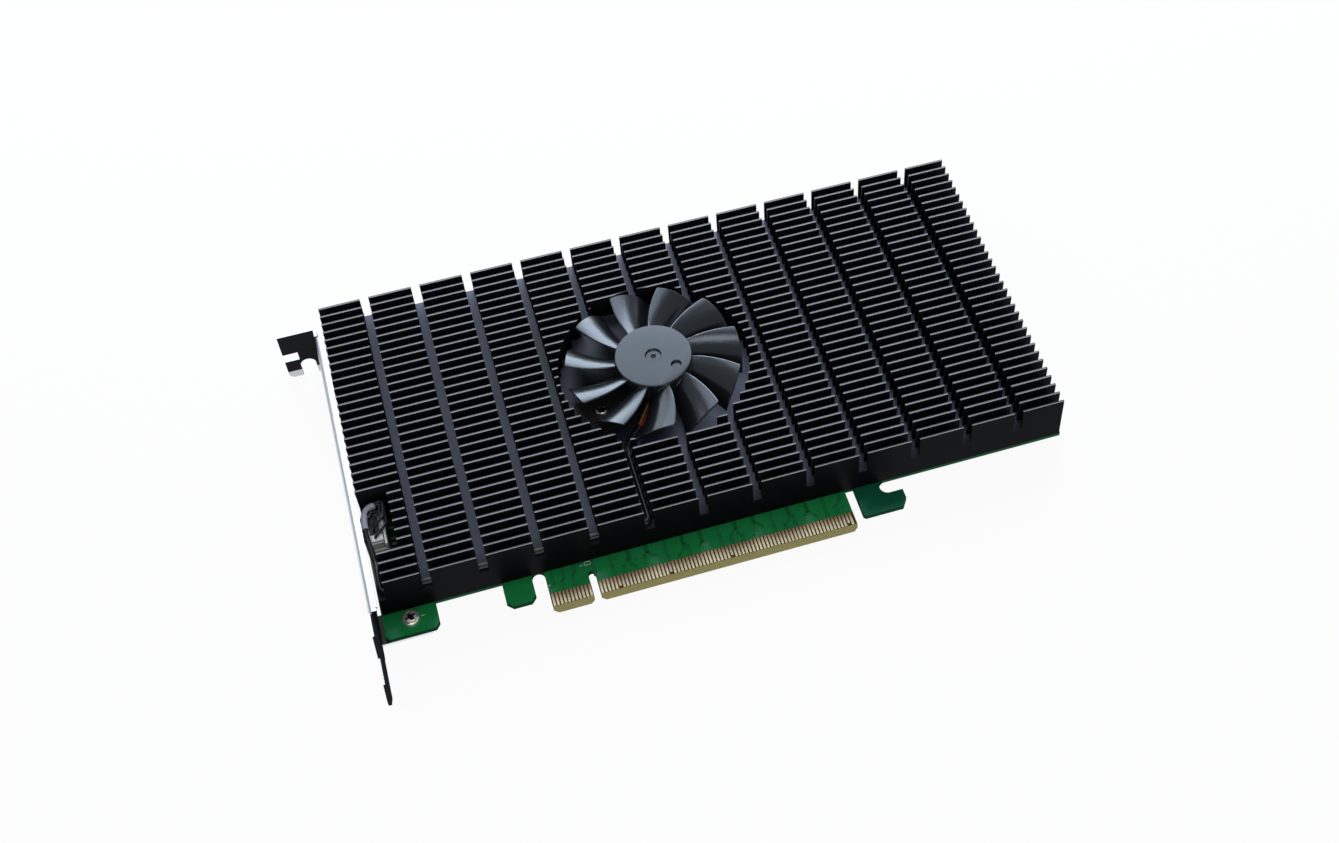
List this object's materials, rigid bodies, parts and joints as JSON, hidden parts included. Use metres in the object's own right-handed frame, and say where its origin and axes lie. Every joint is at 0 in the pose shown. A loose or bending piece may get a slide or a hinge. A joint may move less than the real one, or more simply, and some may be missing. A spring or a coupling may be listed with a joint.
{
  "type": "nvme adapter card",
  "caption": "Full-height server expansion card for solid-state drive modules, with a long gold edge connector, a black finned heat sink, a low fan set into the fins and a steel slot bracket.",
  "frame": {"origin": "middle of the edge connector's key notch, at the connector's tip, on the board's component face", "axes": "+X along the card away from the bracket, +Y from the connector to the card's far edge, +Z out of the component side"},
  "size_m": [0.205, 0.128, 0.0216],
  "materials": {
    "board_laminate": "green solder mask over glass laminate",
    "contact_gold": "thin gold plating",
    "black_aluminium": "black anodised, satin",
    "bracket_steel": "bright zinc plated sheet",
    "screw_steel": "nickel plated",
    "drive_pad": "soft thermal pad",
    "chip_black": "moulded package",
    "socket_black": "moulded",
    "fan_plastic": "blue grey moulded plastic",
    "base_black": "moulded",
    "motor_steel": "pressed steel",
    "magnet": "bonded ferrite",
    "bearing_bronze": "sintered bronze",
    "coil_copper": "enamelled copper wire",
    "sleeve_black": "thin black sleeve",
    "wire_black": "insulated wire",
    "wire_yellow": "insulated wire",
    "wire_red": "insulated wire",
    "wire_blue": "insulated wire",
    "header_cream": "moulded",
    "plug_white": "moulded",
    "chip_ceramic": "ceramic chip parts"
  },
  "bodies": {
    "card": {"circuit_board": "board_laminate", "edge_contacts_component_side": "contact_gold", "edge_contacts_solder_side": "contact_gold", "heatsink": "black_aluminium", "heatsink_screws": "screw_steel", "bracket": "bracket_steel", "bracket_screws": "screw_steel", "drive_pad_1": "drive_pad", "drive_pad_2": "drive_pad", "drive_pad_3": "drive_pad", "drive_pad_4": "drive_pad", "switch_chip": "chip_black", "switch_pad": "drive_pad", "drive_socket_1": "socket_black", "drive_socket_2": "socket_black", "drive_socket_3": "socket_black", "drive_socket_4": "socket_black", "drive_standoffs": "screw_steel", "drive_screws": "screw_steel", "power_inductors": "chip_black", "regulator_chips": "chip_black", "chip_capacitors": "chip_ceramic", "fan_base": "base_black", "fan_bearing": "bearing_bronze", "fan_driver_board": "board_laminate", "stator_core": "motor_steel", "stator_coils": "coil_copper", "fan_screws": "screw_steel", "fan_cable_sleeve": "sleeve_black", "fan_wire_black": "wire_black", "fan_wire_yellow": "wire_yellow", "fan_wire_red": "wire_red", "fan_wire_blue": "wire_blue", "fan_header": "header_cream", "fan_plug": "plug_white", "header_pins": "contact_gold"},
    "fan_rotor": {"fan_impeller": "fan_plastic", "rotor_yoke": "motor_steel", "magnet_ring": "magnet", "fan_shaft": "screw_steel"}
  },
  "joints": [
    {"name": "fan_spin", "type": "hinge", "parent": "card", "child": "fan_rotor", "pos_m": [0.0322, 0.0611, 0.013], "axis": [0, 0, 1], "continuous": true}
  ]
}
